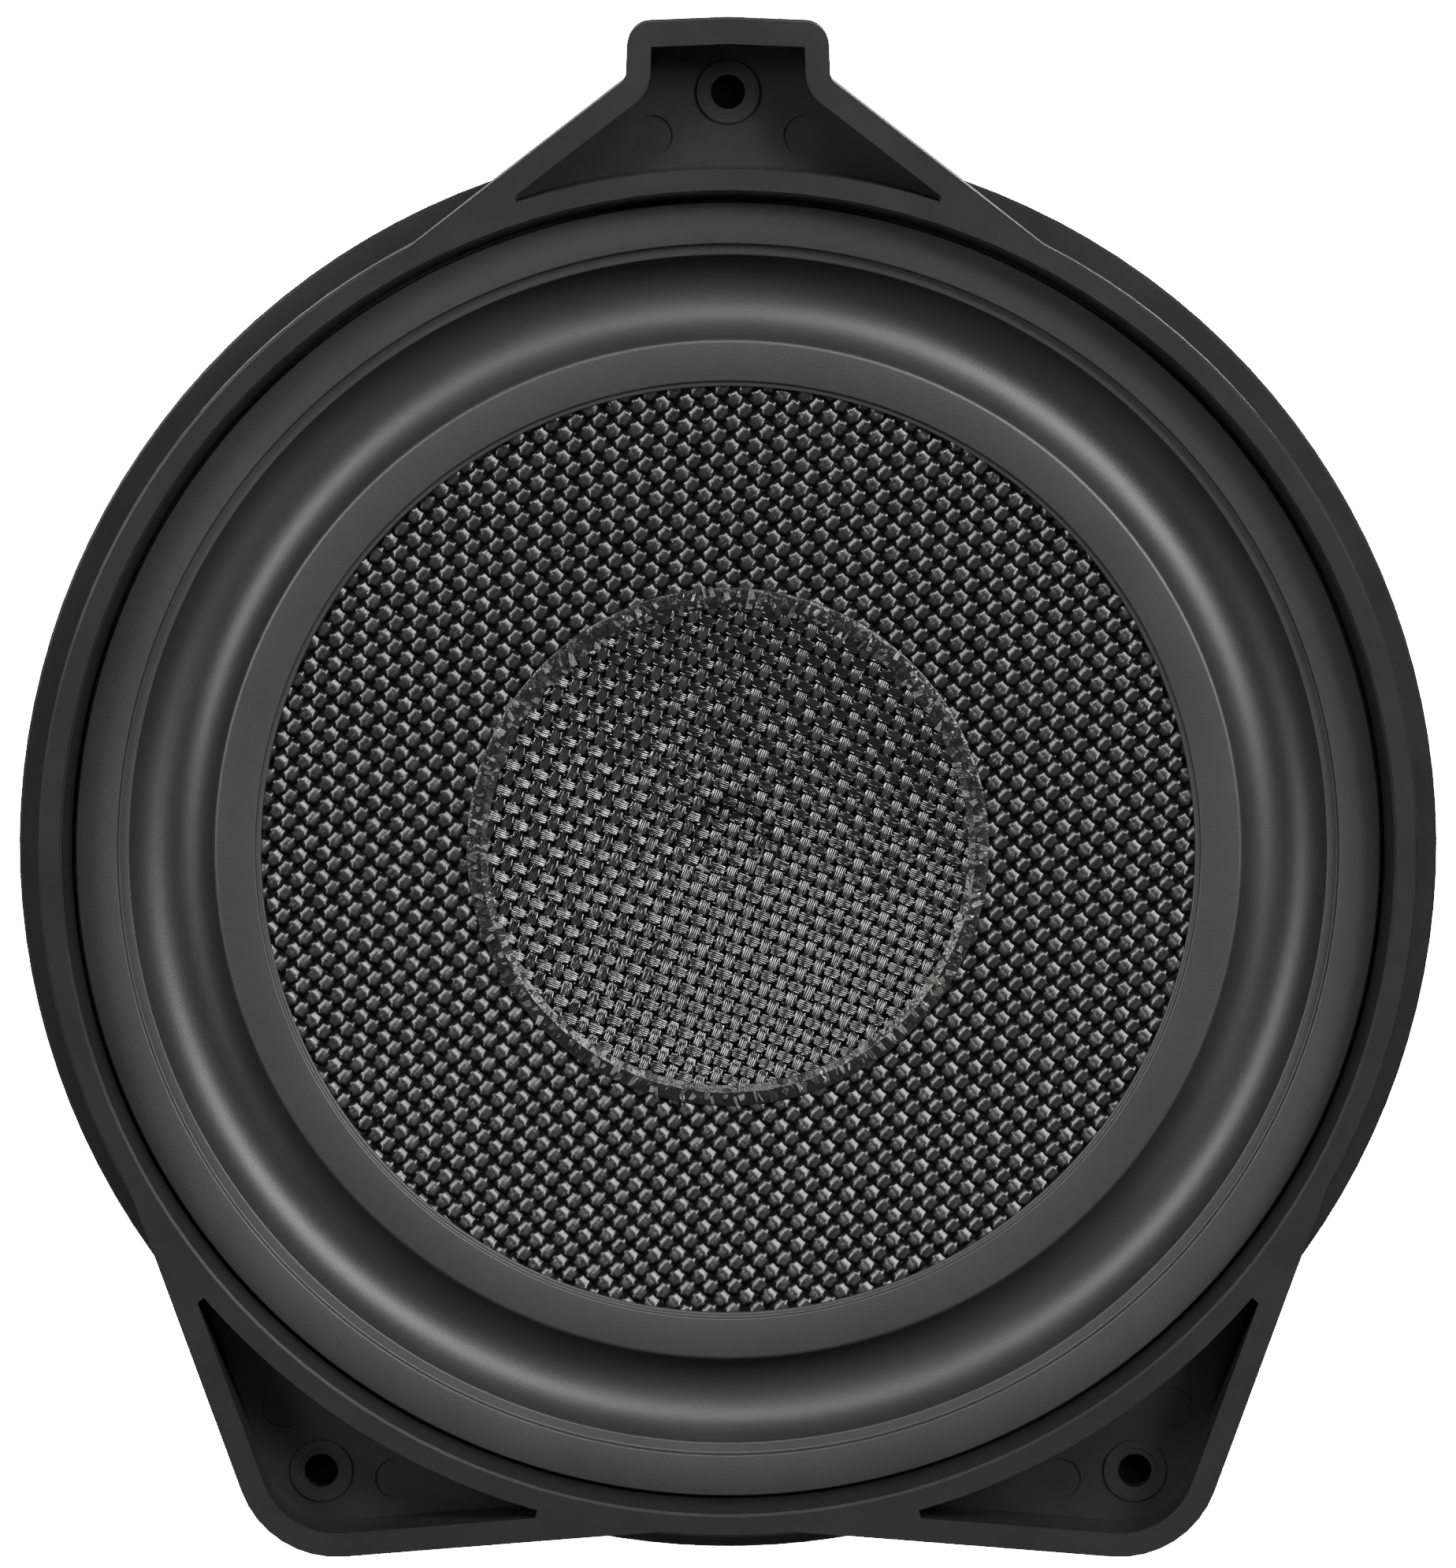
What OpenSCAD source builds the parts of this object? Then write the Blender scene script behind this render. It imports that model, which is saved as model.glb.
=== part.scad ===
// Shallow eight-inch car woofer with a three-eared moulded basket.
// Sub-parts are drawn with the speaker's axis along Z, the listening side up and the top ear
// towards +Y. facing() then stands them up, so that the speaker plays towards -Y and its top
// ear points up. The origin is on the speaker's axis, in the flange's rear (panel) face.

/* [Flange and rim] */
// Radius of the thin flange that lies on the panel
flange_r = 108.5; // [107:0.5:112]
// Thickness of the flange and of the ears' floors
flange_h = 3; // [2.5:0.1:4]
// Outer radius of the raised rim wall
rim_r = 104.8; // [104.6:0.1:105.5]
// Height of the rim wall above the panel
rim_h = 13.5; // [12:0.5:16]
// Radius of the rim's inner edge at its top
rim_lip_r = 101.2; // [101:0.1:102]
// Radius where the rim's sloping inner wall meets the surround's landing
rim_foot_r = 99.9; // [99.8:0.1:100.5]
// Height of the landing that the surround is glued to
landing_z = 5.5; // [5:0.1:6]

/* [Ears] */
// Wall thickness around the ears' pockets
ear_wall = 3.7; // [3:0.1:4.5]
// Height of the top ear above the axis, at its middle
top_ear_y = 127.2; // [127:0.1:131]
// Half width of the top ear's tab
top_ear_half = 15.1; // [14:0.1:17]
// Height at which the tab meets the top ear's sloping sides
top_ear_neck_y = 118.2; // [118:0.1:121]
// Radius of the top ear's two corners
top_ear_corner_r = 3.5; // [2:0.5:5]
// Corner of a lower ear before rounding, sideways from the axis
low_ear_x = 70.6; // [68:0.1:73]
// Corner of a lower ear before rounding, below the axis
low_ear_y = 108.75; // [107:0.05:111]
// Radius of a lower ear's corner
low_ear_corner_r = 15.4; // [12:0.2:18]

/* [Screw holes] */
// Radius of the three mounting holes, clearance for M5
hole_r = 2.6; // [2.1:0.1:3]
// Height of the top hole above the axis
top_hole_y = 115.9; // [115:0.1:117]
// Sideways distance of a lower hole from the axis
low_hole_x = 62.8; // [61:0.1:64]
// Depth of a lower hole below the axis
low_hole_y = 96.4; // [95.5:0.1:97.5]
// Height of the raised ring around each hole
boss_h = 0.4; // [0.2:0.1:0.8]

/* [Surround] */
// Outer radius of the surround's flat glued ring
ring_outer_r = 99.5; // [99:0.1:99.7]
// Thickness of the flat glued ring
ring_h = 2; // [1.5:0.1:2.5]
// Inner edge of the flat ring, where a step drops to the roll's edge
ring_inner_r = 93.2; // [93:0.1:94.5]
// Outer radius of the half roll, which is sunk towards the motor
roll_outer_r = 91.4; // [90.5:0.1:91.6]
// Inner radius of the half roll
roll_inner_r = 78.6; // [78:0.1:79]
// Thickness of the rubber
rubber_t = 0.8; // [0.6:0.1:1]

/* [Cone and cap] */
// Radius of the seam between the rubber and the visible woven cone
seam_r = 71.3; // [70:0.1:72]
// Outer radius of the cone's lip, glued under the rubber
lip_r = 76.8; // [76:0.1:77.2]
// Drop of the cone for each millimetre towards the middle
cone_slope = 0.16; // [0.15:0.002:0.17]
// Thickness of the woven cone, measured along the axis
cone_t = 0.62; // [0.5:0.02:0.8]
// Outer radius of the dust cap
cap_r = 38.6; // [38:0.1:39]
// Depth of the dust cap's hollow
cap_depth = 3.6; // [3.2:0.1:3.7]
// Radius of the small dimple in the middle of the cap
dimple_r = 4.7; // [4:0.1:6]
// Outer radius of the glue ring around the cap
glue_r = 40.2; // [39.5:0.1:41]

/* [Coil and spider] */
// Inner radius of the voice coil former
former_r = 25; // [24.9:0.05:25.2]
// Wall of the former
former_t = 0.3; // [0.2:0.05:0.3]
// Height of the lower end of the former
former_bottom = -42; // [-43:0.5:-41]
// Thickness of the winding, two layers of wire
winding_t = 1; // [0.6:0.1:1.2]
// Length of the winding
winding_h = 16; // [12:1:16]
// Height of the spider's mid-plane
spider_z = -17.05; // [-17.5:0.05:-16.5]
// Height of the spider's corrugations above and below its mid-plane
spider_wave = 1.9; // [1:0.1:2.2]
// Number of corrugations
spider_waves = 5; // [3:1:6]
// Thickness of the spider's cloth
spider_t = 0.5; // [0.4:0.1:0.6]

/* [Motor] */
// Radius of the top plate
top_plate_r = 56; // [55:0.5:57]
// Thickness of the top plate
top_plate_h = 6; // [5:0.5:6]
// Outer radius of the ferrite magnet
magnet_r = 60; // [58:0.5:60.5]
// Thickness of the magnet
magnet_h = 16; // [14:1:18]
// Radius of the back plate
back_plate_r = 58; // [55:0.5:59]
// Thickness of the back plate
back_plate_h = 6; // [5:0.5:8]
// Radius of the pole
pole_r = 24.5; // [24.3:0.05:24.6]
// Radius of the vent through the pole
vent_r = 8; // [6:0.5:8.5]
// Radius of the circle on which the four motor screws stand
screw_circle_r = 44; // [42:0.5:46]

/* [Terminals] */
// Sideways distance of each terminal from the board's middle
terminal_y = 6; // [5.5:0.1:7]
// Width of the positive blade
positive_w = 6.3; // [4.8:0.1:6.3]
// Width of the negative blade
negative_w = 4.8; // [2.8:0.1:4.8]
// Thickness of the blades
blade_t = 0.8; // [0.5:0.1:0.8]

/* [Hidden] */
$fn = 120;
ARC_STEPS = 8;
CORD_SIDES = 12;
EDGE = 0.4;
FIT = 0.05;

// Ears, as corners [x, y, fillet radius] in counter-clockwise order
top_ear = [[0, 60, 0], [50, 91.5, 0], [top_ear_half + 0.3, top_ear_neck_y, 2],
           [top_ear_half, top_ear_y - 0.6, top_ear_corner_r], [0, top_ear_y, 0],
           [-top_ear_half, top_ear_y - 0.6, top_ear_corner_r],
           [-top_ear_half - 0.3, top_ear_neck_y, 2], [-50, 91.5, 0]];
low_ear = [[40, -40, 0], [10.1, -103.9, 0], [low_ear_x, -low_ear_y, low_ear_corner_r],
           [91.2, -51, 0]];
top_pocket_sector = [72.3, 107.7];
low_pocket_sector = [-73.8, -40.1];
mark_r = 3.1;
mark_depth = 0.25;
top_marks = [[-11.5, 109.3], [11.5, 109.3]];
low_marks = [[68.7, -86.6], [51.4, -97.7]];
boss_r = 4.75;
boss_step_r = 3.55;

gasket_inner_r = 99.5;
gasket_outer_r = 104.5;
gasket_t = 1.5;

// Basket behind the panel
drum_inner_r = 92.5;
drum_outer_r = 96;
drum_z = -7;
web_r = 97.5;
web_t = 2.5;
shelf_top = -26;
shelf_bottom = -30;
shelf_outer_r = 66;
shelf_inner_r = 34;
ledge_inner_r = 51.5;
ledge_outer_r = 58.5;
ledge_z = spider_z - spider_t / 2;
window_inner_r = 73;
window_outer_r = 89;
ribs = 12;
rib_w = 8;
pad_x = [60, 76];
pad_half = 13;
pad_top = -26.5;
pad_well_x = 63.5;

seam_z = 4;
lip_z = 4.6;
neck_r = former_r + former_t + FIT;
neck_t = 0.6;
neck_bottom = -10.6;
cap_t = 0.5;
cap_edge_z = -0.5;
cap_seat_r = 36;
former_top = -8.6;
winding_mid = shelf_bottom - top_plate_h / 2;
collar_t = 0.35;
collar_top = -12.6;
spider_neck_r = 25.9;
spider_neck_h = 1.8;
spider_flat_r = 57.3;
wave_inner_r = 27.5;
wave_outer_r = 51;
WAVE_STEPS = 6;

plate_bottom = shelf_bottom - top_plate_h;
magnet_bottom = plate_bottom - magnet_h;
yoke_bottom = magnet_bottom - back_plate_h;
gap_r = 27;
magnet_inner_r = 33;
screen_r = 9.9;
screen_t = 0.9;
screen_recess = 1.2;
screen_hole_r = 0.9;
screen_pitch = 2.5;
screw_r = 2;
screw_head_r = 3.6;
screw_head_h = 2.4;
screw_socket_r = 1.5;

board_x = [61, 79];
board_t = 1.6;
rivet_x = 68;
rivet_r = 1.2;
rivet_head_r = 2.2;
rivet_head_h = 0.6;
blade_x = [64, 88];
blade_hole_r = 0.9;
lead_r = 0.9;
lead_joint = [36.6, 8.1];
lead_joint_r = 2;
lead_joint_z = -2.85;
wire_r = 0.25;

// Front and back heights of the cone, and the height of the cap's front, at radius r
function cone_front(r) = seam_z - (seam_r - r) * cone_slope;
function cone_back(r) = cone_front(r) - cone_t;
function cap_front(r) = cap_edge_z - cap_depth * (1 - pow(r / cap_r, 2));

// Points of the fillet of radius r at corner p, between its neighbours a and b
function unit(v) = v / norm(v);
function xy(c) = [c.x, c.y];
function fillet(a, p, b, r) =
    r <= 0 ? [p] :
    let (u = unit(a - p), v = unit(b - p), half = acos(u * v) / 2)
    let (centre = p + unit(u + v) * r / sin(half), start = p + u * r / tan(half) - centre)
    let (end = p + v * r / tan(half) - centre)
    let (turn = atan2(cross(start, end), start * end), first = atan2(start.y, start.x))
    [for (k = [0:ARC_STEPS])
        let (angle = first + turn * k / ARC_STEPS) centre + r * [cos(angle), sin(angle)]];
function rounded(corners) =
    let (n = len(corners))
    [for (k = [0:n - 1])
        each fillet(xy(corners[(k + n - 1) % n]), xy(corners[k]), xy(corners[(k + 1) % n]),
                    corners[k].z)];

// The same corners moved inwards by d; a corner that bends inwards gains d in radius
function left_of(v) = [-v.y, v.x];
function inset_corner(a, p, b, d) =
    let (n1 = left_of(unit(p - a)), n2 = left_of(unit(b - p)))
    p + d * (n1 + n2) / (1 + n1 * n2);
function inset(corners, d) =
    let (n = len(corners))
    [for (k = [0:n - 1])
        let (a = xy(corners[(k + n - 1) % n]), p = xy(corners[k]), b = xy(corners[(k + 1) % n]))
        let (q = inset_corner(a, p, b, d), r = corners[k].z)
        [q.x, q.y, r == 0 ? 0 : cross(p - a, b - p) > 0 ? r - d : r + d]];

module facing() { rotate([90, 0, 0]) children(); }
module ring(outer, inner, low, high) {
    translate([0, 0, low]) difference() {
        cylinder(r = outer, h = high - low);
        translate([0, 0, -1]) cylinder(r = inner, h = high - low + 2);
    }
}

// A round cord of radius r through the given points, which never run straight along Y
function cord_ring(points, k, r) =
    let (last = len(points) - 1, ahead = unit(points[min(k + 1, last)] - points[max(k - 1, 0)]))
    let (u = unit(cross(ahead, [0, 1, 0])), v = cross(ahead, u))
    [for (i = [0:CORD_SIDES - 1])
        let (angle = 360 * i / CORD_SIDES) points[k] + r * (cos(angle) * u + sin(angle) * v)];

module cord(points, r) {
    last = len(points) - 1;
    polyhedron(
        points = [for (k = [0:last]) each cord_ring(points, k, r)],
        faces = concat(
            [[for (i = [0:CORD_SIDES - 1]) i]],
            [[for (i = [CORD_SIDES - 1:-1:0]) last * CORD_SIDES + i]],
            [for (k = [0:last - 1], i = [0:CORD_SIDES - 1]) let (j = (i + 1) % CORD_SIDES)
                [k * CORD_SIDES + i, (k + 1) * CORD_SIDES + i, (k + 1) * CORD_SIDES + j,
                 k * CORD_SIDES + j]]));
}

module sector(angles) {
    polygon([for (p = [[0, 0], [200, angles[0]], [240, (angles[0] + angles[1]) / 2], [200, angles[1]]])
        p[0] * [cos(p[1]), sin(p[1])]]);
}

// One ear: its walls to the rim's height, its floor and its hole
module ear(corners, sector_angles, hole) {
    difference() {
        union() {
            translate([0, 0, gasket_t]) linear_extrude(rim_h - gasket_t) difference() {
                polygon(rounded(corners));
                circle(rim_lip_r + EDGE);
            }
            linear_extrude(flange_h) difference() {
                polygon(rounded(corners));
                circle(gasket_outer_r);
            }
        }
        translate([0, 0, flange_h]) linear_extrude(rim_h) intersection() {
            difference() {
                polygon(rounded(inset(corners, ear_wall)));
                circle(rim_r - 0.1);
            }
            sector(sector_angles);
        }
        translate([hole.x, hole.y, -1]) cylinder(r = hole_r, h = rim_h, $fn = 48);
    }
    translate([hole.x, hole.y, 0]) difference() {
        cylinder(r = boss_r, h = flange_h + boss_h, $fn = 48);
        translate([0, 0, flange_h + boss_h / 2]) cylinder(r = boss_step_r, h = 1, $fn = 48);
        translate([0, 0, -1]) cylinder(r = hole_r, h = rim_h, $fn = 48);
    }
}

module basket_shell() {
    rotate_extrude() polygon([
        [flange_r, 0], [flange_r, flange_h - EDGE], [flange_r - EDGE, flange_h],
        [rim_r, flange_h], [rim_r, rim_h - EDGE], [rim_r - EDGE, rim_h],
        [rim_lip_r + EDGE, rim_h], [rim_lip_r, rim_h - EDGE], [rim_foot_r, landing_z],
        [drum_inner_r, landing_z], [drum_inner_r, drum_z], [shelf_outer_r, shelf_top],
        [ledge_outer_r, shelf_top], [ledge_outer_r, ledge_z], [ledge_inner_r, ledge_z],
        [ledge_inner_r, shelf_top], [shelf_inner_r, shelf_top], [shelf_inner_r, shelf_bottom],
        [shelf_outer_r - 2, shelf_bottom], [drum_outer_r, drum_z - EDGE], [drum_outer_r, 0],
        [gasket_inner_r, 0], [gasket_inner_r, gasket_t], [gasket_outer_r, gasket_t],
        [gasket_outer_r, 0]]);
}

module windows() {
    translate([0, 0, 2 * shelf_bottom]) linear_extrude(-2 * shelf_bottom) difference() {
        circle(window_outer_r);
        circle(window_inner_r);
        for (k = [0:ribs - 1]) rotate((k + 0.5) * 360 / ribs) translate([0, -rib_w / 2]) square([200, rib_w]);
    }
}

module rib_webs() {
    for (k = [0:ribs - 1]) rotate((k + 0.5) * 360 / ribs)
        rotate([90, 0, 0]) translate([0, 0, -web_t / 2]) linear_extrude(web_t) polygon([
            [web_r, 0], [web_r, drum_z - 2], [shelf_outer_r + 4, shelf_bottom],
            [shelf_outer_r - 2, shelf_bottom], [drum_outer_r - 1, drum_z - 1],
            [drum_outer_r - 1, 0]]);
}

module at_screws() {
    for (k = [0:3]) at_screw(k) children();
}
module at_screw(k) {
    rotate(45 + 90 * k) translate([screw_circle_r, 0, 0]) children();
}
module at_rivets() {
    for (side = [-1, 1]) translate([rivet_x, side * terminal_y, 0]) children();
}

module basket() color([0.05, 0.05, 0.052]) facing() {
    difference() {
        union() {
            difference() {
                union() {
                    difference() {
                        union() {
                            basket_shell();
                            rib_webs();
                        }
                        windows();
                        translate([pad_well_x, -pad_half + 1.5, pad_top]) cube([20, 2 * pad_half - 3, 12]);
                    }
                    translate([pad_x[0], -pad_half, shelf_bottom])
                        cube([pad_x[1] - pad_x[0], 2 * pad_half, pad_top - shelf_bottom]);
                }
                at_screws() translate([0, 0, shelf_bottom - 1]) cylinder(r = screw_r + 0.2, h = 6, $fn = 48);
                at_rivets() translate([0, 0, shelf_bottom - 1]) cylinder(r = rivet_r + FIT, h = 6, $fn = 48);
            }
            ear(top_ear, top_pocket_sector, [0, top_hole_y]);
            for (side = [0, 1]) mirror([side, 0, 0])
                ear(low_ear, low_pocket_sector, [low_hole_x, -low_hole_y]);
        }
        for (m = concat(top_marks, low_marks, [for (m = low_marks) [-m.x, m.y]]))
            translate([m.x, m.y, flange_h - mark_depth]) cylinder(r = mark_r, h = 1, $fn = 48);
    }
}

module gasket() color([0.08, 0.08, 0.08]) facing()
    ring(gasket_outer_r - FIT, gasket_inner_r + FIT, 0, gasket_t - FIT);

// Flat ring, step, sunk half roll and inner landing, in one moulding of rubber
module surround() color([0.11, 0.11, 0.11]) facing() {
    roll_mid = (roll_outer_r + roll_inner_r) / 2;
    roll_r = (roll_outer_r - roll_inner_r) / 2;
    under_r = roll_r + rubber_t;
    under_end = 180 - asin((landing_z - lip_z - FIT) / under_r);
    arc_steps = 16;
    over = [for (k = [0:arc_steps])
        [roll_mid, landing_z] + roll_r * [cos(180 * k / arc_steps), -sin(180 * k / arc_steps)]];
    under = [for (k = [0:arc_steps]) let (turn = under_end * (1 - k / arc_steps))
        [roll_mid, landing_z] + under_r * [cos(turn), -sin(turn)]];
    rotate_extrude() polygon(concat(
        [[ring_outer_r, landing_z], [ring_outer_r, landing_z + ring_h - EDGE],
         [ring_outer_r - EDGE, landing_z + ring_h], [ring_inner_r, landing_z + ring_h],
         [ring_inner_r - 0.2, landing_z + rubber_t], [roll_outer_r, landing_z + rubber_t]],
        over,
        [[seam_r, seam_z + FIT + rubber_t - 0.1], [seam_r, seam_z + FIT],
         [lip_r + 0.2, lip_z + FIT]],
        under));
}

// Corrugated cloth: its top line (side 1) runs outwards and its bottom line (side -1) back
function corrugation(k, side) =
    [wave_inner_r + (wave_outer_r - wave_inner_r) * k / (spider_waves * WAVE_STEPS),
     spider_z + side * spider_t / 2 + spider_wave * sin(360 * k / WAVE_STEPS)];

module spider() color([0.62, 0.47, 0.24]) facing() {
    n = spider_waves * WAVE_STEPS;
    top = spider_z + spider_t / 2;
    bottom = spider_z - spider_t / 2;
    rotate_extrude() polygon(concat(
        [[spider_neck_r, bottom], [spider_neck_r, spider_z + spider_neck_h],
         [spider_neck_r + spider_t, spider_z + spider_neck_h], [spider_neck_r + spider_t, top]],
        [for (k = [0:n]) corrugation(k, 1)],
        [[spider_flat_r, top], [spider_flat_r, bottom]],
        [for (k = [n:-1:0]) corrugation(k, -1)]));
}

module top_plate() color([0.45, 0.46, 0.47]) facing() difference() {
    ring(top_plate_r, gap_r, plate_bottom, shelf_bottom);
    at_screws() translate([0, 0, plate_bottom - 1])
        cylinder(r = screw_r + FIT, h = top_plate_h + 2, $fn = 48);
}

module magnet() color([0.16, 0.16, 0.17]) facing() {
    rotate_extrude() polygon([
        [magnet_inner_r, magnet_bottom], [magnet_r - 1, magnet_bottom], [magnet_r, magnet_bottom + 1],
        [magnet_r, plate_bottom - 1], [magnet_r - 1, plate_bottom], [magnet_inner_r, plate_bottom]]);
}

// Back plate and vented pole, turned from one piece of steel
module yoke() color([0.45, 0.46, 0.47]) facing() {
    rotate_extrude() polygon([
        [vent_r, yoke_bottom + screen_recess], [screen_r + FIT, yoke_bottom + screen_recess],
        [screen_r + FIT, yoke_bottom], [back_plate_r - 2, yoke_bottom],
        [back_plate_r, yoke_bottom + 2], [back_plate_r, magnet_bottom], [pole_r, magnet_bottom],
        [pole_r, shelf_bottom - 0.8], [pole_r - 0.8, shelf_bottom], [vent_r + 3, shelf_bottom],
        [vent_r, shelf_bottom - 3]]);
}

module vent_screen() color([0.2, 0.2, 0.2]) facing()
    translate([0, 0, yoke_bottom + screen_recess - screen_t]) difference() {
        cylinder(r = screen_r, h = screen_t);
        for (row = [-3:3], k = [0:6 - abs(row)])
            translate([(k - (6 - abs(row)) / 2) * screen_pitch, row * screen_pitch * sin(60), -1])
                cylinder(r = screen_hole_r, h = screen_t + 2, $fn = 24);
    }

module motor_screw(k) color([0.55, 0.55, 0.56]) facing() at_screw(k) difference() {
    union() {
        translate([0, 0, plate_bottom + 0.5]) cylinder(r = screw_r, h = shelf_top - plate_bottom, $fn = 48);
        translate([0, 0, shelf_top]) cylinder(r = screw_head_r, h = screw_head_h, $fn = 48);
    }
    translate([0, 0, shelf_top + 1]) cylinder(r = screw_socket_r, h = screw_head_h, $fn = 6);
}

module terminal_board() color([0.36, 0.2, 0.1]) facing() difference() {
    translate([board_x[0], -pad_half + 1, shelf_bottom - board_t])
        cube([board_x[1] - board_x[0], 2 * pad_half - 2, board_t]);
    at_rivets() translate([0, 0, shelf_bottom - board_t - 1]) cylinder(r = rivet_r + FIT, h = 4, $fn = 48);
}

// Flat push-on blade, riveted at its inner end and with a latch hole near its tapered tip
module blade(side, width) color([0.72, 0.6, 0.3]) facing() difference() {
    translate([0, side * terminal_y, shelf_bottom - board_t - blade_t]) linear_extrude(blade_t)
        polygon([[blade_x[0], -width / 2], [blade_x[1] - 1, -width / 2], [blade_x[1], 1 - width / 2],
                 [blade_x[1], width / 2 - 1], [blade_x[1] - 1, width / 2], [blade_x[0], width / 2]]);
    at_rivets() translate([0, 0, 2 * shelf_bottom]) cylinder(r = rivet_r + FIT, h = 60, $fn = 48);
    translate([blade_x[1] - 3.5, side * terminal_y, 2 * shelf_bottom])
        cylinder(r = blade_hole_r, h = 60, $fn = 24);
}

module rivet(side) color([0.72, 0.6, 0.3]) facing() translate([rivet_x, side * terminal_y, 0]) {
    blade_bottom = shelf_bottom - board_t - blade_t;
    translate([0, 0, blade_bottom - rivet_head_h]) cylinder(r = rivet_head_r, h = rivet_head_h, $fn = 48);
    translate([0, 0, blade_bottom - 0.1]) cylinder(r = rivet_r, h = pad_top - blade_bottom + 0.2, $fn = 48);
    translate([0, 0, pad_top]) cylinder(r = rivet_head_r, h = rivet_head_h, $fn = 48);
}

// Flexible lead from the rivet, over the spider, to the joint on the back of the cone
module tinsel_lead(side) color([0.7, 0.68, 0.62]) facing()
    cord([for (p = [[68, 6, -24.95], [68, 6.2, -20], [65.5, 6.8, -14.5], [60, 7.4, -10.6],
                    [53.5, 8, -9.4], [46.5, 8.2, -8], [40.5, 8.2, -5.2],
                    [lead_joint.x, lead_joint.y, lead_joint_z - lead_r - FIT]])
        [p.x, side * p.y, p.z]], lead_r);

module cone() color([0.12, 0.12, 0.12]) facing() {
    shoulder_r = neck_r + 2;
    rotate_extrude() polygon([
        [lip_r, lip_z], [seam_r, seam_z], [shoulder_r, cone_front(shoulder_r)],
        [neck_r + 0.7, cone_front(neck_r) - 0.2], [neck_r, cone_front(neck_r) - 1],
        [neck_r, neck_bottom], [neck_r + neck_t, neck_bottom],
        [neck_r + neck_t, cone_back(neck_r) - 0.8], [shoulder_r, cone_back(shoulder_r)],
        [seam_r, seam_z - cone_t], [lip_r, lip_z - cone_t]]);
}

// Hollow cap whose edge sits on the cone, with a small dimple in the middle
module dust_cap() color([0.06, 0.06, 0.06]) facing() {
    steps = 10;
    radii = [for (k = [0:steps]) dimple_r + 1 + (cap_seat_r - dimple_r - 1) * k / steps];
    dimple_z = cap_front(0) - 0.4;
    rotate_extrude() polygon(concat(
        [[0, dimple_z - cap_t], [0, dimple_z], [dimple_r, dimple_z]],
        [for (r = radii) [r, cap_front(r)]],
        [[cap_r, cap_edge_z], [cap_r, cone_front(cap_r)], [cap_seat_r, cone_front(cap_seat_r)]],
        [for (k = [steps - 1:-1:0]) [radii[k], cap_front(radii[k]) - cap_t]],
        [[dimple_r, dimple_z - cap_t]]));
}

module cap_adhesive() color([0.2, 0.2, 0.2]) facing() {
    rotate_extrude() polygon([
        [cap_r, cone_front(cap_r)], [glue_r, cone_front(glue_r)], [glue_r - 0.1, cone_front(glue_r) + 0.3],
        [cap_r + 0.8, cap_edge_z + 0.05], [cap_r, cap_edge_z]]);
}

module neck_adhesive() color([0.1, 0.1, 0.1]) facing() {
    inner_r = neck_r + neck_t;
    rotate_extrude() polygon([
        [inner_r, cone_back(neck_r) - 3.4], [inner_r + 2.4, cone_back(inner_r + 2.4)],
        [neck_r + 2, cone_back(neck_r + 2)], [inner_r, cone_back(neck_r) - 0.8]]);
}

module coil_former() color([0.75, 0.55, 0.2]) facing()
    ring(former_r + former_t, former_r, former_bottom, former_top);

module coil_winding() color([0.72, 0.36, 0.15]) facing()
    ring(former_r + former_t + winding_t, former_r + former_t,
         winding_mid - winding_h / 2, winding_mid + winding_h / 2);

module coil_collar() color([0.35, 0.24, 0.14]) facing()
    ring(neck_r + collar_t, neck_r, winding_mid + winding_h / 2 + 0.4, collar_top);

module spider_adhesive() color([0.1, 0.1, 0.1]) facing() {
    collar_r = neck_r + collar_t;
    bottom = spider_z + spider_neck_h + FIT;
    rotate_extrude() polygon([[collar_r, bottom], [collar_r + 0.9, bottom],
                              [collar_r + 0.7, bottom + 0.5], [collar_r, bottom + 1.2]]);
}

// Fine wire from the top of the collar, along the back of the cone, to the lead's joint
module lead_out(side) color([0.72, 0.36, 0.15]) facing()
    rotate(side * atan2(lead_joint.y, lead_joint.x))
        cord([[neck_r + 0.3, 0, collar_top + 0.3], [neck_r + 1.35, 0, -11], [neck_r + 3.2, 0, -6.6],
              [neck_r + 5.6, 0, -4.2],
              [norm(lead_joint) - lead_joint_r - wire_r - FIT, 0, lead_joint_z - 0.35]], wire_r);

// Blob of solder and glue on the back of the cone, over the end of each lead
module lead_joint(side) color([0.6, 0.6, 0.6]) facing() difference() {
    translate([lead_joint.x, side * lead_joint.y, lead_joint_z])
        cylinder(r = lead_joint_r, h = 3, $fn = 48);
    rotate_extrude() polygon([[0, cone_back(0)], [0, 10], [seam_r, 10], [seam_r, cone_back(seam_r)]]);
}

basket();
gasket();
surround();
spider();
top_plate();
magnet();
yoke();
vent_screen();
motor_screw(0);  // motor_screw_1
motor_screw(1);  // motor_screw_2
motor_screw(2);  // motor_screw_3
motor_screw(3);  // motor_screw_4
terminal_board();
blade(1, positive_w);  // terminal_positive
blade(-1, negative_w);  // terminal_negative
rivet(1);  // rivet_positive
rivet(-1);  // rivet_negative
tinsel_lead(1);  // tinsel_lead_positive
tinsel_lead(-1);  // tinsel_lead_negative
cone();
dust_cap();
cap_adhesive();
neck_adhesive();
coil_former();
coil_winding();
coil_collar();
spider_adhesive();
lead_out(1);  // lead_out_positive
lead_out(-1);  // lead_out_negative
lead_joint(1);  // lead_joint_positive
lead_joint(-1);  // lead_joint_negative
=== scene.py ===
import math

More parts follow.
